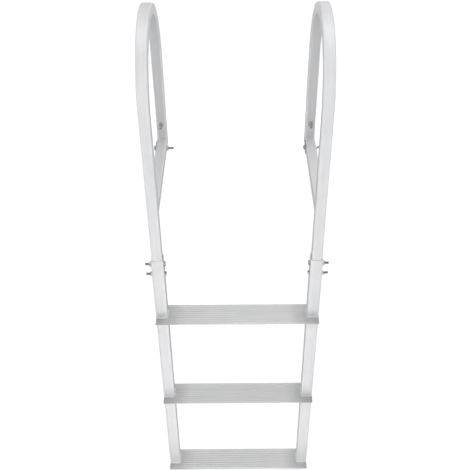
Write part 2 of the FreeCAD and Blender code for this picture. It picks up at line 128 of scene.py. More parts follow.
class Graph:
    """Short calls that add nodes to one tree and wire them."""

    def __init__(self, tree: NodeTree) -> None:
        """Keep the tree that the calls add to."""
        self.tree = tree

    def feed(self, node: Node, inputs: dict) -> None:
        """Set or wire inputs of a node.

        Args:
            node: The node.
            inputs: Socket name or number to a constant or to an output socket.
        """
        for name, value in inputs.items():
            if isinstance(value, NodeSocket):
                self.tree.links.new(value, node.inputs[name])
            else:
                node.inputs[name].default_value = value

    def add(self, kind: str, inputs: dict | None = None, **settings: object) -> Node:
        """Add a node.

        Args:
            kind: The node's type name.
            inputs: Socket name or number to a constant or to an output socket.
            **settings: Properties of the node itself.

        Returns:
            The new node.
        """
        node = self.tree.nodes.new(kind)
        for name, value in settings.items():
            setattr(node, name, value)
        self.feed(node, inputs or {})
        return node

    def math(self, operation: str, first: object, second: object = 0.0) -> NodeSocket:
        """Return the output of a Math node on two values or sockets."""
        return self.add("ShaderNodeMath", {0: first, 1: second}, operation=operation).outputs[0]

    def vector_math(self, operation: str, first: object, second: object) -> NodeSocket:
        """Return the vector that a Vector Math node makes of two vectors or sockets."""
        inputs = {0: first, 1: second}
        return self.add("ShaderNodeVectorMath", inputs, operation=operation).outputs["Vector"]

    def split(self, vector: object) -> list[NodeSocket]:
        """Return the X, Y and Z of a vector."""
        return list(self.add("ShaderNodeSeparateXYZ", {0: vector}).outputs)

    def remap(self, value: object, low: float, high: float) -> NodeSocket:
        """Return a 0 to 1 value stretched between two bounds."""
        inputs = {"Value": value, "To Min": low, "To Max": high}
        return self.add("ShaderNodeMapRange", inputs).outputs["Result"]

    def contrast(self, value: object, low: float, high: float) -> NodeSocket:
        """Return 0 to 1 for the part of a value between two bounds."""
        inputs = {"Value": value, "From Min": low, "From Max": high}
        return self.add("ShaderNodeMapRange", inputs).outputs["Result"]

    def noise(self, vector: object, scale: float, detail: float = 2.0) -> NodeSocket:
        """Return a noise value from 0 to 1."""
        inputs = {"Vector": vector, "Scale": scale, "Detail": detail}
        return self.add("ShaderNodeTexNoise", inputs).outputs["Fac"]

    def blend(self, first: Tone | NodeSocket, second: Tone, share: NodeSocket) -> NodeSocket:
        """Blend two tones of one finish.

        Args:
            first: The tone, or a colour socket, that shows where the share is 0.
            second: The tone that shows where the share is 1.
            share: How much of the second tone shows, from 0 to 1.

        Returns:
            The colour socket.
        """
        start = first if isinstance(first, NodeSocket) else (*first, 1.0)
        inputs = {MIX_SHARE: share, MIX_FIRST: start, MIX_SECOND: (*second, 1.0)}
        return self.add("ShaderNodeMix", inputs, data_type="RGBA").outputs[MIX_RESULT]


def empty_graph(owner: Material | bpy.types.World) -> Graph:
    """Give a material or a world a node tree without nodes.

    Args:
        owner: The material or the world.

    Returns:
        The graph that adds to its tree.
    """
    owner.use_nodes = True
    owner.node_tree.nodes.clear()
    return Graph(owner.node_tree)


# Effects that several finishes share


def start_group(name: str, inputs: dict[str, str], outputs: Sequence[str]) -> tuple[Graph, Node, Node]:
    """Start a shader node group with named sockets.

    Args:
        name: The group's name.
        inputs: Input name to its socket type.
        outputs: Names of the value outputs.

    Returns:
        The group's graph, its input node and its output node.
    """
    tree = bpy.data.node_groups.new(name, "ShaderNodeTree")
    for socket, kind in inputs.items():
        tree.interface.new_socket(socket, in_out="INPUT", socket_type=kind)
    for socket in outputs:
        tree.interface.new_socket(socket, in_out="OUTPUT", socket_type="NodeSocketFloat")
    graph = Graph(tree)
    return graph, graph.add("NodeGroupInput"), graph.add("NodeGroupOutput")


@dataclass(frozen=True)
class DieLines:
    """Fine lines that a die draws along aluminium, with broader bands and soft patches.

    Attributes:
        line_creep: Change of the lines along the metal, as a share of that across it.
        low: Noise value that becomes 0; high becomes 1.
    """

    line_creep: float = 0.004
    line_detail: float = 3.0
    line_roughness: float = 0.65
    band_creep: float = 0.02
    band_scale: float = 160.0
    patch_scale: float = 14.0
    patch_detail: float = 4.0
    low: float = 0.3
    high: float = 0.7

    def make(self) -> NodeTree:
        """Make the node group.

        Returns:
            A group that takes Run, a place whose Z runs along the metal, and Lines per
            metre. It gives Lines, Bands and Patches, each from 0 to 1.
        """
        inputs = {"Run": "NodeSocketVector", "Lines per metre": "NodeSocketFloat"}
        graph, source, target = start_group("die_lines", inputs, ("Lines", "Bands", "Patches"))
        run = source.outputs["Run"]
        fine = graph.vector_math("MULTIPLY", run, (1.0, 1.0, self.line_creep))
        broad = graph.vector_math("MULTIPLY", run, (1.0, 1.0, self.band_creep))
        lines = graph.add("ShaderNodeTexNoise", {
            "Vector": fine,
            "Scale": source.outputs["Lines per metre"],
            "Detail": self.line_detail,
            "Roughness": self.line_roughness,
        })
        patterns = {
            "Lines": lines.outputs["Fac"],
            "Bands": graph.noise(broad, self.band_scale),
            "Patches": graph.noise(run, self.patch_scale, self.patch_detail),
        }
        for name, pattern in patterns.items():
            graph.feed(target, {name: graph.contrast(pattern, self.low, self.high)})
        return graph.tree


@dataclass(frozen=True)
class HandlingTraces:
    """Light traces of handling: thin broken scratches and soft cloudy smudges.

    Attributes:
        scratch_width: Distance to a cell's edge, as a share of a cell, that is scratched.
        bare_below: Noise value up to which there is no scratch.
    """

    wander_scale: float = 22.0
    wander: float = 0.02
    scratch_scale: float = 34.0
    scratch_width: float = 0.004
    break_scale: float = 9.0
    break_detail: float = 1.0
    bare_below: float = 0.62
    smudge_scale: float = 30.0
    smudge_detail: float = 5.0

    def make(self) -> NodeTree:
        """Make the node group.

        Returns:
            A group that takes Place and gives Scuffs and Smudges, each from 0 to 1.
        """
        inputs = {"Place": "NodeSocketVector"}
        graph, source, target = start_group("handling_traces", inputs, ("Scuffs", "Smudges"))
        place = source.outputs["Place"]
        wander = graph.add("ShaderNodeTexNoise", {"Vector": place, "Scale": self.wander_scale})
        offset = graph.vector_math("MULTIPLY", wander.outputs["Color"], (self.wander,) * 3)
        cells = graph.add(
            "ShaderNodeTexVoronoi",
            {"Vector": graph.vector_math("ADD", place, offset), "Scale": self.scratch_scale},
            feature="DISTANCE_TO_EDGE",
        )
        thin = graph.math("LESS_THAN", cells.outputs["Distance"], self.scratch_width)
        gaps = graph.noise(place, self.break_scale, self.break_detail)
        graph.feed(target, {
            "Scuffs": graph.math("MULTIPLY", thin, graph.math("GREATER_THAN", gaps, self.bare_below)),
            "Smudges": graph.noise(place, self.smudge_scale, self.smudge_detail),
        })
        return graph.tree


@dataclass(frozen=True)
class WornCornerHighlights:
    """The corners of a square tube, bright as wear and painted highlight, and its saw-cut rims, bright as
    painted highlight.

    A tube's flat faces look along X or at right angles to it, so the larger of these two
    parts of the direction is 1 there. It is less at a rounded corner: the wear and painted
    highlight begin at the part named flat and are full at rounded. A face is level from
    slanting to level in Z.
    """

    flat: float = 0.97
    rounded: float = 0.75
    slanting: float = 0.7
    level: float = 0.9

    def make(self) -> NodeTree:
        """Make the node group.

        Returns:
            A group that takes Direction, the way the surface faces, and Rim highlight, how
            bright a level saw-cut face is painted. It gives Wear and highlight, from 0 on the tube's
            flat faces to 1 at the middle of a rounded corner.
        """
        inputs = {"Direction": "NodeSocketVector", "Rim highlight": "NodeSocketFloat"}
        graph, source, target = start_group("worn_corner_highlights", inputs, ("Wear and highlight",))
        x, _, z = graph.split(source.outputs["Direction"])
        aside = graph.math("ABSOLUTE", x)
        rest = graph.math("SQRT", graph.math("SUBTRACT", 1.0, graph.math("POWER", aside, 2.0)))
        # Corners brightened as wear and as a painted highlight along the tube's edges.
        wear_and_highlight = graph.contrast(graph.math("MAXIMUM", aside, rest), self.flat, self.rounded)
        # Level saw-cut rims brightened as a painted highlight.
        level = graph.contrast(graph.math("ABSOLUTE", z), self.slanting, self.level)
        rim_highlight = graph.math("MULTIPLY", level, source.outputs["Rim highlight"])
        graph.feed(target, {"Wear and highlight": graph.math("MAXIMUM", wear_and_highlight, rim_highlight)})
        return graph.tree


@dataclass(frozen=True)
class EffectGroups:
    """The node groups that several finishes share."""

    die_lines: NodeTree
    handling: NodeTree
    worn_corner_highlights: NodeTree


# Finishes


class Surface:
    """One material in the making, with its shader and its traces of handling."""

    bevel_samples: int = 6

    def __init__(self, name: str, groups: EffectGroups) -> None:
        """Start the material.

        Args:
            name: The material's name.
            groups: The shared effects.
        """
        self.material = bpy.data.materials.new(name)
        self.graph = empty_graph(self.material)
        self.shader = self.graph.add("ShaderNodeBsdfPrincipled")
        self.graph.add("ShaderNodeOutputMaterial", {"Surface": self.shader.outputs["BSDF"]})
        self.place = self.graph.add("ShaderNodeTexCoord").outputs["Object"]
        inputs = {"Place": self.place}
        traces = self.graph.add("ShaderNodeGroup", inputs, node_tree=groups.handling)
        self.scuffs = traces.outputs["Scuffs"]
        self.smudges = traces.outputs["Smudges"]

    def smudged(self, roughness: float, swing: Pair) -> NodeSocket:
        """Let the smudges move a roughness.

        Args:
            roughness: The finish's own roughness.
            swing: How far the roughness goes below and above it.

        Returns:
            The roughness socket.
        """
        below, above = swing
        return self.graph.remap(self.smudges, roughness - below, roughness + above)

    def soften(self, radius: float) -> NodeSocket:
        """Return the surface's direction with its edges rounded by a radius."""
        samples = self.bevel_samples
        return self.graph.add("ShaderNodeBevel", {"Radius": radius}, samples=samples).outputs[0]

    def complete(
        self,
        tone: NodeSocket,
        roughness: NodeSocket,
        metallic: float,
        bump: dict[str, float | NodeSocket],
    ) -> Material:
        """Wire the shader.

        Args:
            tone: The colour.
            roughness: The roughness.
            metallic: 1 for bare metal and 0 for the rest.
            bump: Inputs of the Bump node.

        Returns:
            The material.
        """
        self.graph.feed(self.shader, {
            "Base Color": tone,
            "Roughness": roughness,
            "Metallic": metallic,
            "Normal": self.graph.add("ShaderNodeBump", bump).outputs[0],
        })
        return self.material


@dataclass(frozen=True)
class RailShade:
    """Painted shade that darkens a tread's ends towards the rails that they meet.

    Attributes:
        middle: X of the tread's middle.
        start: Distance from the middle at which the painted shade begins.
        end: Distance from the middle at which it is full.
        cloud_reach: How far its cloudy edge strays each way.
    """

    middle: float
    start: float
    end: float
    # Tone of the painted shade.
    tone: Tone = (0.50, 0.50, 0.505)
    cloud_scale: float = 60.0
    cloud_detail: float = 4.0
    cloud_reach: float = 0.012

    def share(self, surface: Surface) -> NodeSocket:
        """Find how much painted shade lies on the tread.

        Args:
            surface: The tread's material in the making.

        Returns:
            A value from 0 to 1.
        """
        graph = surface.graph
        x = graph.split(surface.place)[0]
        away = graph.math("ABSOLUTE", graph.math("SUBTRACT", x, self.middle))
        cloud = graph.noise(surface.place, self.cloud_scale, self.cloud_detail)
        stray = graph.remap(cloud, -self.cloud_reach, self.cloud_reach)
        return graph.contrast(graph.math("ADD", away, stray), self.start, self.end)


@dataclass(frozen=True)
class DrawnAluminium:
    """Satin aluminium with the fine lines of its die and light traces of handling.

    Attributes:
        swing: How far smudges take the roughness below and above its own value.
        bend: Y and Z of the arch's centre, for a bent tube.
        wear_and_highlight: Tone of the corners, bright as wear and painted highlight, without tread
            shade.
        rim_highlight: How bright a level saw-cut face is painted, as a highlight.
        shaded_below: Height under which the tube is hidden in its socket and darkened as painted shade.
    """

    name: str
    run: Run
    pale: Tone
    deep: Tone
    roughness: float = 0.6
    swing: Pair = (0.05, 0.06)
    scuff_dulling: float = 0.08
    line_depth: float = 0.00002
    lines_per_metre: float = 2600.0
    band_share: float = 0.35
    patch_share: float = 0.2
    line_share: float = 0.45
    edge: float = 0.0012
    bend: Pair = (0.0, 0.0)
    wear_and_highlight: Tone = (0.97, 0.97, 0.97)
    rim_highlight: float = 0.0
    rail_shade: RailShade | None = None
    shaded_below: float | None = None
    gap_shade: Tone = (0.36, 0.36, 0.36)
    gap_shade_fade: float = 0.002

    def run_place(self, surface: Surface) -> NodeSocket:
        """Turn the place on the ladder into one whose Z runs along the metal.

        Args:
            surface: The material in the making.

        Returns:
            The vector socket.
        """
        if self.run is Run.UPRIGHT:
            return surface.place
        graph = surface.graph
        x, y, z = graph.split(surface.place)
        if self.run is Run.LEVEL:
            parts = (x, z, y)
        elif self.run is Run.ACROSS:
            parts = (y, z, x)
        else:
            away = graph.math("SUBTRACT", y, self.bend[0])
            above = graph.math("MAXIMUM", graph.math("SUBTRACT", z, self.bend[1]), 0.0)
            square = graph.math("ADD", graph.math("POWER", away, 2.0), graph.math("POWER", above, 2.0))
            parts = (x, graph.math("SQRT", square), graph.math("ADD", y, z))
        return graph.add("ShaderNodeCombineXYZ", dict(enumerate(parts))).outputs[0]

    def make(self, groups: EffectGroups) -> Material:
        """Make the material.

        Args:
            groups: The shared effects.

        Returns:
            The material.
        """
        surface = Surface(self.name, groups)
        graph = surface.graph
        inputs = {"Run": self.run_place(surface), "Lines per metre": self.lines_per_metre}
        lines = graph.add("ShaderNodeGroup", inputs, node_tree=groups.die_lines)
        bands = graph.math("MULTIPLY", lines.outputs["Bands"], self.band_share)
        patches = graph.math("MULTIPLY", lines.outputs["Patches"], self.patch_share)
        fine = graph.math("MULTIPLY", lines.outputs["Lines"], self.line_share)
        shade = graph.math("ADD", graph.math("ADD", bands, patches), fine)
        soft = surface.soften(self.edge)
        tone = graph.blend(self.deep, self.pale, shade)
        # A tread is darkened towards the rails at its ends: painted shade.
        if self.rail_shade:
            tone = graph.blend(tone, self.rail_shade.tone, self.rail_shade.share(surface))
        else:
            # Tubes get their corners painted bright as wear and highlight, and their saw-cut rims as a
            # highlight.
            inputs = {"Direction": soft, "Rim highlight": self.rim_highlight}
            corners = graph.add("ShaderNodeGroup", inputs, node_tree=groups.worn_corner_highlights)
            tone = graph.blend(tone, self.wear_and_highlight, corners.outputs["Wear and highlight"])
        # Painted shade: the tube is darkened below the rail's rim, where it shows in the gap of its
        # socket.
        if self.shaded_below is not None:
            height = graph.split(surface.place)[2]
            hidden = graph.contrast(height, self.shaded_below, self.shaded_below - self.gap_shade_fade)
            tone = graph.blend(tone, self.gap_shade, hidden)
        dulling = graph.math("MULTIPLY", surface.scuffs, self.scuff_dulling)
        rough = graph.math("ADD", surface.smudged(self.roughness, self.swing), dulling)
        relief = graph.math("SUBTRACT", lines.outputs["Lines"], surface.scuffs)
        bump = {"Height": relief, "Distance": self.line_depth, "Normal": soft}
        return surface.complete(tone, rough, 1.0, bump)


@dataclass(frozen=True)
class GrainedFinish:
    """A finish with a fine grain, and smudges that move its gloss.

    Attributes:
        grain: Scale and detail of the noise that gives the grain.
        mottle: Scale and detail of the noise that mixes the tones, or none: smudges do.
    """

    name: str
    pale: Tone
    deep: Tone
    roughness: float
    swing: Pair
    grain: Pair
    grain_depth: float
    mottle: Pair | None = None
    edge: float | None = None
    metallic: float = 1.0

    def make(self, groups: EffectGroups) -> Material:
        """Make the material.

        Args:
            groups: The shared effects.

        Returns:
            The material.
        """
        surface = Surface(self.name, groups)
        graph = surface.graph
        share = graph.noise(surface.place, *self.mottle) if self.mottle else surface.smudges
        bump = {"Height": graph.noise(surface.place, *self.grain), "Distance": self.grain_depth}
        if self.edge:
            bump["Normal"] = surface.soften(self.edge)
        tone = graph.blend(self.deep, self.pale, share)
        rough = surface.smudged(self.roughness, self.swing)
        return surface.complete(tone, rough, self.metallic, bump)


@dataclass(frozen=True)
class StainlessSteel(GrainedFinish):
    """Stainless steel with a fine mottle of tone."""

    pale: Tone = (0.80, 0.80, 0.80)
    deep: Tone = (0.46, 0.46, 0.46)
    roughness: float = 0.15
    swing: Pair = (0.06, 0.12)
    grain: Pair = (700.0, 3.0)
    grain_depth: float = 0.00002
    mottle: Pair = (700.0, 3.0)


@dataclass(frozen=True)
class WeldAluminium(GrainedFinish):
    """Bright weld metal with a greyer haze."""

    name: str = "weld_aluminium"
    pale: Tone = (0.92, 0.92, 0.92)
    deep: Tone = (0.78, 0.78, 0.79)
    roughness: float = 0.45
    swing: Pair = (0.05, 0.1)
    grain: Pair = (1500.0, 3.0)
    grain_depth: float = 0.00005
    mottle: Pair = (420.0, 4.0)


@dataclass(frozen=True)
class MouldedNylon(GrainedFinish):
    """Black moulded nylon with a fine spark texture."""

    pale: Tone = (0.030, 0.030, 0.031)
    deep: Tone = (0.014, 0.014, 0.015)
    roughness: float = 0.55
    swing: Pair = (0.08, 0.08)
    grain: Pair = (2600.0, 2.0)
    grain_depth: float = 0.00006
    edge: float = 0.0007
    metallic: float = 0.0


@dataclass
class Finishes:
    """Every material of the ladder, made once."""

    tube_pale: Tone = (0.86, 0.865, 0.875)
    tube_deep: Tone = (0.76, 0.765, 0.775)
    tread_pale: Tone = (0.815, 0.815, 0.82)
    tread_deep: Tone = (0.69, 0.69, 0.695)
    # Tones of a darker copy of the nuts' stainless steel: painted shade of thread grooves and dark
    # reflections.
    shaded_bolt_pale: Tone = (0.50, 0.50, 0.50)
    shaded_bolt_deep: Tone = (0.26, 0.26, 0.26)
    rail_shade_width: float = 0.075

    def __post_init__(self) -> None:
        """Make the shared effects and then each material."""
        groups = EffectGroups(DieLines().make(), HandlingTraces().make(), WornCornerHighlights().make())
        tones = (self.tube_pale, self.tube_deep)
        # The rails' saw-cut rims are painted bright as a highlight.
        self.rail = DrawnAluminium(
            "rail_aluminium", Run.UPRIGHT, *tones, edge=0.0003, rim_highlight=1.0).make(groups)
        low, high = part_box("left_handrail")
        radius = (high[1] - low[1]) / 2
        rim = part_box("left_lower_rail")[1][2]
        # The handrail is darkened below the lower rail's rim, as painted shade in the socket's gap.
        self.handrail = DrawnAluminium(
            "handrail_aluminium", Run.BENT, *tones,
            bend=(low[1] + radius, high[2] - radius), shaded_below=rim,
        ).make(groups)
        self.deck_tube = DrawnAluminium("deck_tube_aluminium", Run.LEVEL, *tones).make(groups)
        start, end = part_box("top_step")
        half = (end[0] - start[0]) / 2
        # The tread's ends are darkened towards the rails as painted shade.
        self.tread = DrawnAluminium(
            "tread_aluminium", Run.ACROSS, self.tread_pale, self.tread_deep,
            roughness=0.62, line_depth=0.00001, lines_per_metre=1500.0, edge=0.0008,
            rail_shade=RailShade(start[0] + half, half - self.rail_shade_width, half),
        ).make(groups)
        self.nut_steel = StainlessSteel("nut_steel").make(groups)
        # A darker copy of the nut steel, for the bolts and deck plates: painted shade.
        self.shaded_bolt_steel = StainlessSteel(
            "shaded_bolt_steel", self.shaded_bolt_pale, self.shaded_bolt_deep, roughness=0.2).make(groups)
        self.weld = WeldAluminium().make(groups)
        self.connector = MouldedNylon("connector_nylon").make(groups)
        self.plug = MouldedNylon("plug_nylon").make(groups)


# Meshes


def corners(box: Sequence[Sequence[float]]) -> tuple[Vector, Vector]:
    """Return a box's lowest and highest corners as vectors."""
    return Vector(box[0]), Vector(box[1])


def add_object(name: str, data: bpy.types.ID) -> bpy.types.Object:
    """Put new data in the scene.

    Args:
        name: The object's name.
        data: Its mesh, lamp or camera.

    Returns:
        The object.
    """
    thing = bpy.data.objects.new(name, data)
    bpy.context.scene.collection.objects.link(thing)
    return thing


def dress(node: str, material: Material) -> None:
    """Give a CAD node its finish.

    Args:
        node: The CAD node.
        material: The finish.
    """
    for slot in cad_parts[node].material_slots:
        slot.material = material
    LOG.info("dressed %s in %s", node, material.name)


def finish_piece(
    name: str, bm: BMesh, material: Material, smooth_angle: float
) -> bpy.types.Object:
    """Turn a finished bmesh into a piece that rides on the ladder.

    Args:
        name: The piece's name.
        bm: Its mesh, in the frame's own axes; it is freed.
        material: Its material.
        smooth_angle: Edges flatter than this many degrees are shaded smooth.

    Returns:
        The object.
    """
    bmesh.ops.recalc_face_normals(bm, faces=bm.faces)
    limit = math.radians(smooth_angle)
    for face in bm.faces:
        face.smooth = True
    for edge in bm.edges:
        edge.smooth = len(edge.link_faces) == 2 and edge.calc_face_angle(0.0) < limit
    mesh = bpy.data.meshes.new(name)
    bm.to_mesh(mesh)
    bm.free()
    mesh.materials.append(material)
    piece = add_object(name, mesh)
    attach(piece, BODY)
    LOG.info("made %s with %d faces", name, len(mesh.polygons))
    return piece


def skin(bm: BMesh, rings: Sequence[Sequence[Vector]], caps: bool = True) -> None:
    """Lay faces between neighbouring rings of points.

    Args:
        bm: The mesh that gets them.
        rings: Closed rings of as many points each.
        caps: Whether the first and the last ring are filled.
    """
    laid = [[bm.verts.new(point) for point in ring] for ring in rings]
    count = len(laid[0])
    for first, second in zip(laid, laid[1:]):
        for index in range(count):
            after = (index + 1) % count
            bm.faces.new((first[index], first[after], second[after], second[index]))
    if caps:
        bm.faces.new(list(reversed(laid[0])))
        bm.faces.new(laid[-1])


# Fasteners


@dataclass
class Fastener:
    """Flanged hexagon bolt or nut along its own +Z, before it is turned into place.

    Attributes:
        face_share: The end face's radius as a share of half the width across flats.
        chamfer_slope: Slope in degrees of the chamfer over the hexagon's corners.
        wall_share: Top of the flange's upright wall, as a share of the flange's height.
        end_lean: How far the end's chamfer leans in for each metre of its length.
    """

    across_flats: float = 0.0111
    diameter: float = 0.00635
    pitch: float = 0.00127
    thread_depth: float = 0.00055
    flange_radius: float = 0.0070
    flange_height: float = 0.0013
    points: int = 48
    face_share: float = 0.93
    chamfer_slope: float = 28.0
    flange_break: float = 0.0002
    wall_share: float = 0.45
    flange_lean: float = 0.0009
    end_chamfer: float = 0.0009
    end_lean: float = 0.9
    rings_per_turn: int = 8

    def hexagon_radius(self, angle: float) -> float:
        """Return the hexagon's reach at an angle."""
        sixth = math.pi / 3
        return self.across_flats / 2 / math.cos((angle % sixth) - sixth / 2)

    def ring(self, reach: Callable[[float], float], height: Callable[[float], float]) -> list[Vector]:
        """Return one ring of points from its reach and height at each angle."""
        angles = [2 * math.pi * index / self.points for index in range(self.points)]
        return [
            Vector((reach(a) * math.cos(a), reach(a) * math.sin(a), height(a))) for a in angles
        ]

    def hexagon_rings(self, base: float, top: float) -> Rings:
        """Return the rings of a hexagon with its corners chamfered at the top.

        Args:
            base: Height at which the hexagon starts.
            top: Height of its end face.

        Returns:
            The rings from the base to the rim of the end face.
        """
        face = self.across_flats / 2 * self.face_share
        slope = math.tan(math.radians(self.chamfer_slope))

        def shoulder(angle: float) -> float:
            """Height at which the chamfer starts."""
            return top - (self.hexagon_radius(angle) - face) * slope

        return [
            self.ring(self.hexagon_radius, lambda a: base),
            self.ring(self.hexagon_radius, shoulder),
            self.ring(lambda a: face, lambda a: top),
        ]

    def flange_rings(self) -> Rings:
        """Return the rings of the flange.

        Returns:
            The rings from its bearing face up to the hexagon.
        """
        edge = self.flange_radius
        wall = self.flange_height * self.wall_share
        return [
            self.ring(lambda a: edge - self.flange_break, lambda a: 0.0),
            self.ring(lambda a: edge, lambda a: self.flange_break),
            self.ring(lambda a: edge, lambda a: wall),
            self.ring(lambda a: max(self.hexagon_radius(a), edge - self.flange_lean),
                      lambda a: self.flange_height),
        ]

    def thread_rings(self, start: float, end: float) -> Rings:
        """Return the rings of a screw thread with a chamfered end.

        Args:
            start: Height at which the thread starts.
            end: Height of the bolt's end.

        Returns:
            The rings from the start to the end.
        """
        crest = self.diameter / 2
        chamfer = self.end_chamfer
        steps = math.ceil((end - start) / self.pitch * self.rings_per_turn)
        rings = []
        for step in range(steps + 1):
            height = start + (end - start) * step / steps
            limit = crest
            if height >= end - chamfer:
                limit = crest - (height - end + chamfer) * self.end_lean
            run_in = min(1.0, (height - start) / self.pitch)

            def reach(angle: float, h: float = height, most: float = limit, cut: float = run_in) -> float:
                """Reach of the thread's flank at an angle."""
                turn = (h / self.pitch - angle / (2 * math.pi)) % 1.0
                return min(most, crest - self.thread_depth * cut * abs(2 * turn - 1))

            rings.append(self.ring(reach, lambda a, h=height: h))
        return rings


@dataclass
class FastenerSet:
    """One bolt and its nut, each in the place of its CAD node.

    Attributes:
        turn: The angle in degrees at which the hexagons were left.
        shank_root: How far the shank reaches into the head.
        bore_play: Gap between the bolt and the nut's bore.
    """

    name: str
    facing: Facing
    turn: float
    shaded_bolt_steel: Material
    nut_steel: Material
    pattern: Fastener = field(default_factory=Fastener)
    head_height: float = 0.0042
    thread_length: float = 0.021
    shank_root: float = 0.0005
    bore_play: float = 0.00005
    sink_width: float = 0.0005
    sink_depth: float = 0.0006
    smooth_angle: float = 24.0
    merge: float = 1e-6

    def length(self, node: str) -> float:
        """Return a node's length along the bolt."""
        low, high = corners(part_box(node))
        return abs((high - low).dot(Vector(self.facing.value)))

    def place(self, node: str, inset: float) -> Matrix:
        """Return the matrix that turns +Z the bolt's way and sets it on a node's start.

        Args:
            node: The CAD node.
            inset: How far the bearing face lies beyond the node's first end.

        Returns:
            The matrix.
        """
        low, high = corners(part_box(node))
        way = Vector(self.facing.value)
        start = (low + high) / 2 - way * (self.length(node) / 2 - inset)
        spin = Matrix.Rotation(math.radians(self.turn), 4, "Z")
        return Matrix.Translation(start) @ way.to_track_quat("Z", "Y").to_matrix().to_4x4() @ spin

    def add(self, node: str, bm: BMesh, inset: float, steel: Material) -> None:
        """Turn a mesh into place and let it stand for its node.

        Args:
            node: The CAD node.
            bm: The mesh along its own +Z; it is freed.
            inset: How far the bearing face lies beyond the node's first end.
            steel: The finish.
        """
        bmesh.ops.transform(bm, matrix=self.place(node, inset), verts=bm.verts)
        piece = finish_piece(f"{node}_piece", bm, steel, self.smooth_angle)
        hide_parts(node)

    def build(self) -> None:
        """Make the bolt and the nut."""
        self.build_bolt(f"{self.name}_bolt")
        self.build_nut(f"{self.name}_nut")

    def build_bolt(self, node: str) -> None:
        """Make the bolt: flanged head, plain shank and threaded end.

        Args:
            node: The bolt's CAD node.
        """
        shape = self.pattern
        flip = Matrix.Rotation(math.pi, 4, "X")
        bm = bmesh.new()
        head = shape.flange_rings() + shape.hexagon_rings(shape.flange_height, self.head_height)
        skin(bm, [[flip @ point for point in ring] for ring in head])
        end = self.length(node) - self.head_height
        start = end - self.thread_length
        shank = shape.diameter / 2
        plain = [shape.ring(lambda a: shank, lambda a, h=h: h) for h in (-self.shank_root, start)]
        skin(bm, plain + shape.thread_rings(start, end)[1:])
        # The bolt is made in the darker steel, which paints in shade.
        self.add(node, bm, self.head_height, self.shaded_bolt_steel)

    def build_nut(self, node: str) -> None:
        """Make the nut: a flange, a hexagon and a countersunk bore.

        Args:
            node: The nut's CAD node.
        """
        shape = self.pattern
        height = self.length(node)
        bore = shape.diameter / 2 + self.bore_play
        sink = bore + self.sink_width
        outside = shape.flange_rings() + shape.hexagon_rings(shape.flange_height, height)
        inside = [
            shape.ring(lambda a: sink, lambda a: height),
            shape.ring(lambda a: bore, lambda a: height - self.sink_depth),
            shape.ring(lambda a: bore, lambda a: self.sink_depth),
            shape.ring(lambda a: sink, lambda a: 0.0),
        ]
        bm = bmesh.new()
        rings = outside + inside
        skin(bm, rings + [rings[0]], caps=False)
        bmesh.ops.remove_doubles(bm, verts=bm.verts, dist=self.merge)
        self.add(node, bm, 0.0, self.nut_steel)


# Weld beads


WELD_SMOOTH_ANGLE = 40.0


@dataclass
class WeldBead:
    """Fillet weld along a path, rippled like a row of overlapping drops.

    Attributes:
        seed: Where the bead's slow wander starts.
        width: Its leg along the outward direction; height is the other one.
        ripple: Distance from one drop to the next.
        base_size: Its least size, to which each drop and the wander add.
        wander_rates: Radians a metre of its two waves.
        end_size: Its size at both ends.
        root_back: How far inward of the corner its hidden root lies.
        bulge: Mean reach of its face; the middle has the swing more, the edges less.
    """

    seed: float
    width: float = 0.0036
    height: float = 0.0034
    ripple: float = 0.0017
    step: float = 0.00042
    base_size: float = 0.93
    drop_swell: float = 0.11
    wander_swell: float = 0.03
    wander_rates: Pair = (410.0, 953.0)
    end_size: float = 0.35
    end_taper: float = 0.0025
    root_back: float = 0.0004
    root_below: float = 0.0010
    arc_steps: int = 8
    bulge: float = 0.86
    bulge_swing: float = 0.14

    def resample(self, path: Path) -> Path:
        """Divide a path into even steps.

        Args:
            path: Points of the path, with the outward direction at each.

        Returns:
            The points and outward directions at the steps.
        """
        places = []
        for (first, out_first), (second, out_second) in zip(path, path[1:]):
            count = max(1, round((second - first).length / self.step))
            for index in range(count):
                share = index / count
                out = out_first.lerp(out_second, share).normalized()
                places.append((first.lerp(second, share), out))
        places.append((path[-1][0], path[-1][1].normalized()))
        return places

    def size(self, travelled: float, left: float) -> float:
        """Find the bead's size at a place along it.

        Args:
            travelled: Distance from its start.
            left: Distance to its end.

        Returns:
            The size as a share of the full one.
        """
        drop = (travelled / self.ripple) % 1.0
        slow, fast = self.wander_rates
        wander = math.sin(travelled * slow + self.seed) + math.sin(travelled * fast + 2 * self.seed)
        swell = self.base_size + self.drop_swell * math.sin(math.pi * drop) + self.wander_swell * wander
        return swell * min(1.0, self.end_size + min(travelled, left) / self.end_taper)

    def section(self, corner: Vector, out: Vector, up: Vector, size: float) -> list[Vector]:
        """Find the ring of points round the bead at one place.

        Args:
            corner: The corner that it fills.
            out: The outward direction.
            up: The direction of its other leg.
            size: Its size there, as a share.

        Returns:
            Its hidden root and then the points of its face.
        """
        ring = [corner - out * self.root_back - up * self.root_below]
        for part in range(self.arc_steps + 1):
            angle = math.pi / 2 * part / self.arc_steps
            reach = size * (self.bulge + self.bulge_swing * math.cos(4 * (angle - math.pi / 4)))
            ring.append(corner + out * (self.width * reach * math.cos(angle))
                        + up * (self.height * reach * math.sin(angle)))
        return ring

    def lay(self, bm: BMesh, path: Path, up: Vector) -> None:
        """Lay the bead.

        Args:
            bm: The mesh that gets it.
            path: Points of the corner that it fills, with the outward direction at each.
            up: The direction of its other leg.
        """
        places = self.resample(path)
        total = sum((b[0] - a[0]).length for a, b in zip(places, places[1:]))
        travelled = 0.0
        rings = []
        for index, (corner, out) in enumerate(places):
            if index:
                travelled += (corner - places[index - 1][0]).length
            rings.append(self.section(corner, out, up, self.size(travelled, total - travelled)))
        skin(bm, rings)


# Sub-assemblies


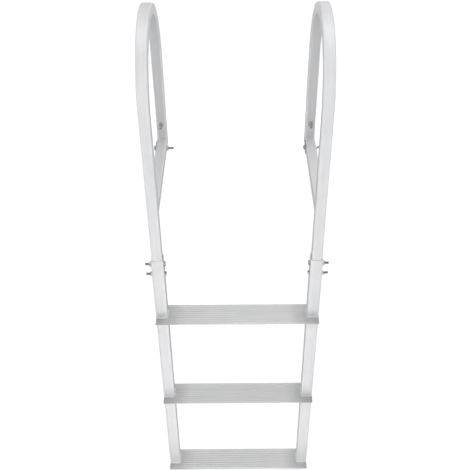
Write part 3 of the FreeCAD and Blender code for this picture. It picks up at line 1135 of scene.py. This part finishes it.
@dataclass
class SideUnit:
    """One lower rail, handrail and deck tube with what fastens them together."""

    side: Side
    finishes: Finishes
    weld_inset: float = 0.0016
    weld_seed: float = 1.7

    def node(self, name: str) -> str:
        """Return the full name of one of this unit's nodes."""
        return f"{self.side.value}_{name}"

    def build(self) -> None:
        """Dress the tubes, set the fasteners and weld the deck tube on."""
        finishes = self.finishes
        dress(self.node("lower_rail"), finishes.rail)
        dress(self.node("handrail"), finishes.handrail)
        dress(self.node("deck_tube"), finishes.deck_tube)
        dress(self.node("corner_connector"), finishes.connector)
        dress(self.node("foot_plug"), finishes.plug)
        # The deck plate is dressed in the darker bolt steel, which paints in shade.
        dress(self.node("deck_plate"), finishes.shaded_bolt_steel)
        self.set_fasteners()
        self.weld_deck_tube()

    def set_fasteners(self) -> None:
        """Set the four bolts and nuts."""
        outward = Facing.LEFTWARD if self.side is Side.LEFT else Facing.RIGHTWARD
        facings = {
            "upper_rail": outward,
            "lower_rail": outward,
            "deck": Facing.RIGHTWARD,
            "leg": Facing.FRONTWARD,
        }
        steels = (self.finishes.shaded_bolt_steel, self.finishes.nut_steel)
        for name, facing in facings.items():
            FastenerSet(self.node(name), facing, SPANNER_TURNS[self.side][name], *steels).build()

    def weld_deck_tube(self) -> None:
        """Weld the deck tube's front end to the handrail's front leg."""
        low, high = corners(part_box(self.node("deck_tube")))
        up = Vector((0, 0, 1))
        path = [
            (Vector((low.x + self.weld_inset, low.y, high.z)), up),
            (Vector((high.x - self.weld_inset, low.y, high.z)), up),
        ]
        bm = bmesh.new()
        WeldBead(self.weld_seed).lay(bm, path, Vector((0, 1, 0)))
        name = self.node("deck_tube_weld")
        finish_piece(name, bm, self.finishes.weld, WELD_SMOOTH_ANGLE)


@dataclass
class Tread:
    """One ribbed tread and the welds that hold it to both lower rails.

    Attributes:
        rib_height: How far the ribs stand above the tread's plate.
        weld_start: How far inward of the rail's outer face each weld starts and ends.
        first_seed: Where the top tread's wander starts; each one below adds seed_step.
    """

    level: Level
    finishes: Finishes
    rail_corner: float = 0.003
    corner_steps: int = 5
    rib_height: float = 0.001
    weld_start: float = 0.001
    weld_width: float = 0.0025
    weld_height: float = 0.0036
    first_seed: float = 0.9
    seed_step: float = 2.3

    def build(self) -> None:
        """Dress the tread and weld it to the rails."""
        node = f"{self.level.value}_step"
        dress(node, self.finishes.tread)
        bm = bmesh.new()
        for side in Side:
            self.weld_rail(bm, node, side)
        name = f"{node}_welds"
        finish_piece(name, bm, self.finishes.weld, WELD_SMOOTH_ANGLE)

    def weld_rail(self, bm: BMesh, node: str, side: Side) -> None:
        """Lay the bead round the three inner faces of one rail.

        Args:
            bm: The mesh that gets it.
            node: The tread's node.
            side: The rail's side.
        """
        low, high = corners(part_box(f"{side.value}_lower_rail"))
        plate_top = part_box(node)[1][2] - self.rib_height
        inward, outer, inner = (1.0, low.x, high.x) if side is Side.LEFT else (-1.0, high.x, low.x)
        radius = self.rail_corner
        edge = outer + inward * self.weld_start
        path = [(Vector((edge, low.y, plate_top)), Vector((0, -1, 0)))]
        for centre_y, start in ((low.y + radius, -90.0), (high.y - radius, 0.0)):
            centre = Vector((inner - inward * radius, centre_y, plate_top))
            for index in range(self.corner_steps + 1):
                angle = math.radians(start + 90.0 * index / self.corner_steps)
                out = Vector((inward * math.cos(angle), math.sin(angle), 0))
                path.append((centre + out * radius, out))
        path.append((Vector((edge, high.y, plate_top)), Vector((0, 1, 0))))
        seed = self.first_seed + inward + self.seed_step * list(Level).index(self.level)
        WeldBead(seed, self.weld_width, self.weld_height).lay(bm, path, Vector((0, 0, 1)))


# Studio


@dataclass(frozen=True)
class SoftLamp:
    """A rectangular soft box."""

    name: str
    place: Point
    target: Point
    width: float
    height: float
    power: float

    def hang(self) -> None:
        """Make the lamp and aim it."""
        data = bpy.data.lights.new(self.name, "AREA")
        data.shape = "RECTANGLE"
        data.size = self.width
        data.size_y = self.height
        data.energy = self.power
        lamp = add_object(self.name, data)
        lamp.location = self.place
        lamp.visible_camera = False
        aim = Vector(self.target) - Vector(self.place)
        lamp.rotation_euler = aim.to_track_quat("-Z", "Y").to_euler()
        LOG.info("hung %s", self.name)


@dataclass
class Studio:
    """Plain pale floor, white surroundings and soft light.

    Attributes:
        floor_fill: White that the camera sees on top of it, in the middle and far out.
        fill_reach: Distance from the middle at which the fill is full.
        floor_in_metal: White that metal shows where it mirrors the floor.
    """

    floor_rings: tuple[float, ...] = (0.4, 1.0, 2.0, 4.0, 7.0)
    floor_points: int = 96
    floor_gap: float = 0.0005
    floor_tone: float = 0.7
    floor_fill: Pair = (0.68, 0.97)
    fill_reach: float = 4.0
    floor_in_metal: float = 0.16
    sky_light: float = 0.15
    sky_in_metal: float = 0.38
    lamps: tuple[SoftLamp, ...] = (
        SoftLamp("left_strip", (0.0, -0.92, 0.4), (0.0, 0.0, 0.45), 0.08, 3.3, 4.0),
        SoftLamp("right_strip", (0.382, -0.92, 0.4), (0.382, 0.0, 0.45), 0.08, 3.3, 3.8),
        SoftLamp("middle_strip", (0.19, -0.85, 0.0), (0.19, 0.0, 0.12), 0.1, 2.4, 0.32),
        SoftLamp("low_strip", (0.19, -0.75, -0.85), (0.19, 0.0, -0.8), 0.5, 0.2, 0.36),
        SoftLamp("foot_strip", (0.19, -0.40, -0.935), (0.19, -0.17, -0.86), 0.6, 0.02, 0.17),
        SoftLamp("left_side", (-1.5, -0.2, 0.0), (0.19, 0.0, -0.1), 0.8, 2.2, 4.4),
        SoftLamp("right_side", (1.88, -0.2, 0.0), (0.19, 0.0, -0.1), 0.8, 2.2, 3.3),
        SoftLamp("left_low", (-0.75, -0.25, -0.55), (0.19, -0.17, -0.3), 0.5, 1.0, 0.66),
        SoftLamp("right_low", (1.13, -0.25, -0.55), (0.19, -0.17, -0.3), 0.5, 1.0, 0.57),
        SoftLamp("top_box", (0.2, 0.2, 3.0), (0.19, 0.0, -0.2), 2.4, 2.4, 22.6),
        SoftLamp("back_box", (0.8, 2.4, 1.5), (0.19, 0.0, 0.0), 2.6, 1.2, 8.0),
        SoftLamp("rear_low", (0.19, 2.3, -0.35), (0.19, 0.0, 0.1), 2.2, 1.0, 7.3),
    )

    def build(self) -> None:
        """Lay the floor, light the surroundings and hang the lamps."""
        self.lay_floor()
        self.light_surroundings()
        for lamp in self.lamps:
            lamp.hang()
        bpy.context.scene.view_settings.view_transform = "Standard"

    def floor_middle(self) -> Vector:
        """Return the point at the feet's height under the ladder's middle."""
        low, high = corners(CAD_BOX)
        return Vector(((low.x + high.x) / 2, (low.y + high.y) / 2, low.z))

    def lay_floor(self) -> None:
        """Lay the round floor just under the ladder's feet."""
        middle = self.floor_middle()
        turns = [2 * math.pi * step / self.floor_points for step in range(self.floor_points)]
        bm = bmesh.new()
        skin(bm, [
            [middle + Vector((radius * math.cos(turn), radius * math.sin(turn), -self.floor_gap))
             for turn in turns]
            for radius in self.floor_rings
        ], caps=False)
        bm.verts.ensure_lookup_table()
        bm.faces.new(bm.verts[:self.floor_points])
        bm.faces.ensure_lookup_table()
        bmesh.ops.recalc_face_normals(bm, faces=bm.faces)
        if bm.faces[0].normal.z < 0.0:
            bmesh.ops.reverse_faces(bm, faces=bm.faces)
        mesh = bpy.data.meshes.new("floor")
        bm.to_mesh(mesh)
        bm.free()
        mesh.materials.append(self.floor_material())
        floor = add_object("floor", mesh)
        LOG.info("laid the floor")

    def white_seen(self, graph: Graph, for_camera: object, in_metal: float) -> NodeSocket:
        """Say how much plain white a ray meets.

        Args:
            graph: The floor's or the world's graph.
            for_camera: The share that the camera itself sees.
            in_metal: The share that metal and glass show.

        Returns:
            The camera's share, that of metal and glass, or none.
        """
        rays = graph.add("ShaderNodeLightPath")
        direct = graph.math("MULTIPLY", rays.outputs["Is Camera Ray"], for_camera)
        mirrored = graph.math(
            "MAXIMUM", rays.outputs["Is Glossy Ray"], rays.outputs["Is Transmission Ray"])
        return graph.math("MAXIMUM", direct, graph.math("MULTIPLY", mirrored, in_metal))

    def floor_material(self) -> Material:
        """Make the floor's paper white, filled up to white outside the ladder's shadow.

        The floor is clear from below, so that the treads' undersides can be seen.

        Returns:
            The material.
        """
        material = bpy.data.materials.new("paper_floor")
        graph = empty_graph(material)
        matte = graph.add("ShaderNodeBsdfDiffuse", {"Color": (*(self.floor_tone,) * 3, 1.0)})
        geometry = graph.add("ShaderNodeNewGeometry")
        ends = {0: geometry.outputs["Position"], 1: self.floor_middle()}
        away = graph.add("ShaderNodeVectorMath", ends, operation="DISTANCE")
        fill = graph.add("ShaderNodeMapRange", {
            "Value": away.outputs["Value"],
            "From Max": self.fill_reach,
            "To Min": self.floor_fill[0],
            "To Max": self.floor_fill[1],
        })
        seen = self.white_seen(graph, fill.outputs["Result"], self.floor_in_metal)
        white = graph.add("ShaderNodeEmission", {"Strength": seen})
        both = graph.add("ShaderNodeAddShader", {0: matte.outputs[0], 1: white.outputs[0]})
        clear = graph.add("ShaderNodeBsdfTransparent")
        sided = graph.add("ShaderNodeMixShader", {
            0: geometry.outputs["Backfacing"], 1: both.outputs[0], 2: clear.outputs[0]})
        graph.add("ShaderNodeOutputMaterial", {"Surface": sided.outputs[0]})
        return material

    def light_surroundings(self) -> None:
        """Light the world softly and show it white to the camera."""
        world = bpy.data.worlds.new("surroundings")
        graph = empty_graph(world)
        light = graph.add("ShaderNodeBackground", {"Color": WHITE, "Strength": self.sky_light})
        white = graph.add("ShaderNodeBackground", {"Color": WHITE, "Strength": 1.0})
        share = self.white_seen(graph, 1.0, self.sky_in_metal)
        mix = graph.add("ShaderNodeMixShader", {0: share, 1: light.outputs[0], 2: white.outputs[0]})
        graph.add("ShaderNodeOutputWorld", {"Surface": mix.outputs[0]})
        bpy.context.scene.world = world


@dataclass(frozen=True)
class CameraStand:
    """Camera at the photograph's place, as fitted to the tubes' edges, turned in radians."""

    place: Point = (0.1892, -1.5521, 1.0238)
    pitch: float = 0.6646
    yaw: float = 0.0017
    roll: float = -0.0086
    focal_pixels: float = 750.6
    frame_pixels: float = 470.0
    sensor: float = 36.0
    clip_end: float = 60.0

    def build(self) -> None:
        """Set up the camera and make it the scene's own."""
        data = bpy.data.cameras.new("camera")
        data.sensor_width = self.sensor
        data.lens = self.focal_pixels / self.frame_pixels * self.sensor
        data.clip_end = self.clip_end
        camera = add_object("camera", data)
        turn = Euler((math.pi / 2 - self.pitch, 0.0, self.yaw)).to_matrix()
        turn = turn @ Matrix.Rotation(self.roll, 3, "Z")
        camera.matrix_world = Matrix.Translation(self.place) @ turn.to_4x4()
        bpy.context.scene.camera = camera
        LOG.info("set the camera")


def main() -> None:
    """Build the ladder's looks, then the studio and the camera."""
    logging.basicConfig(level=logging.INFO, format="%(message)s")
    finishes = Finishes()
    for side in Side:
        SideUnit(side, finishes).build()
    for level in Level:
        Tread(level, finishes).build()
    Studio().build()
    CameraStand().build()


if __name__ == "__main__":
    main()
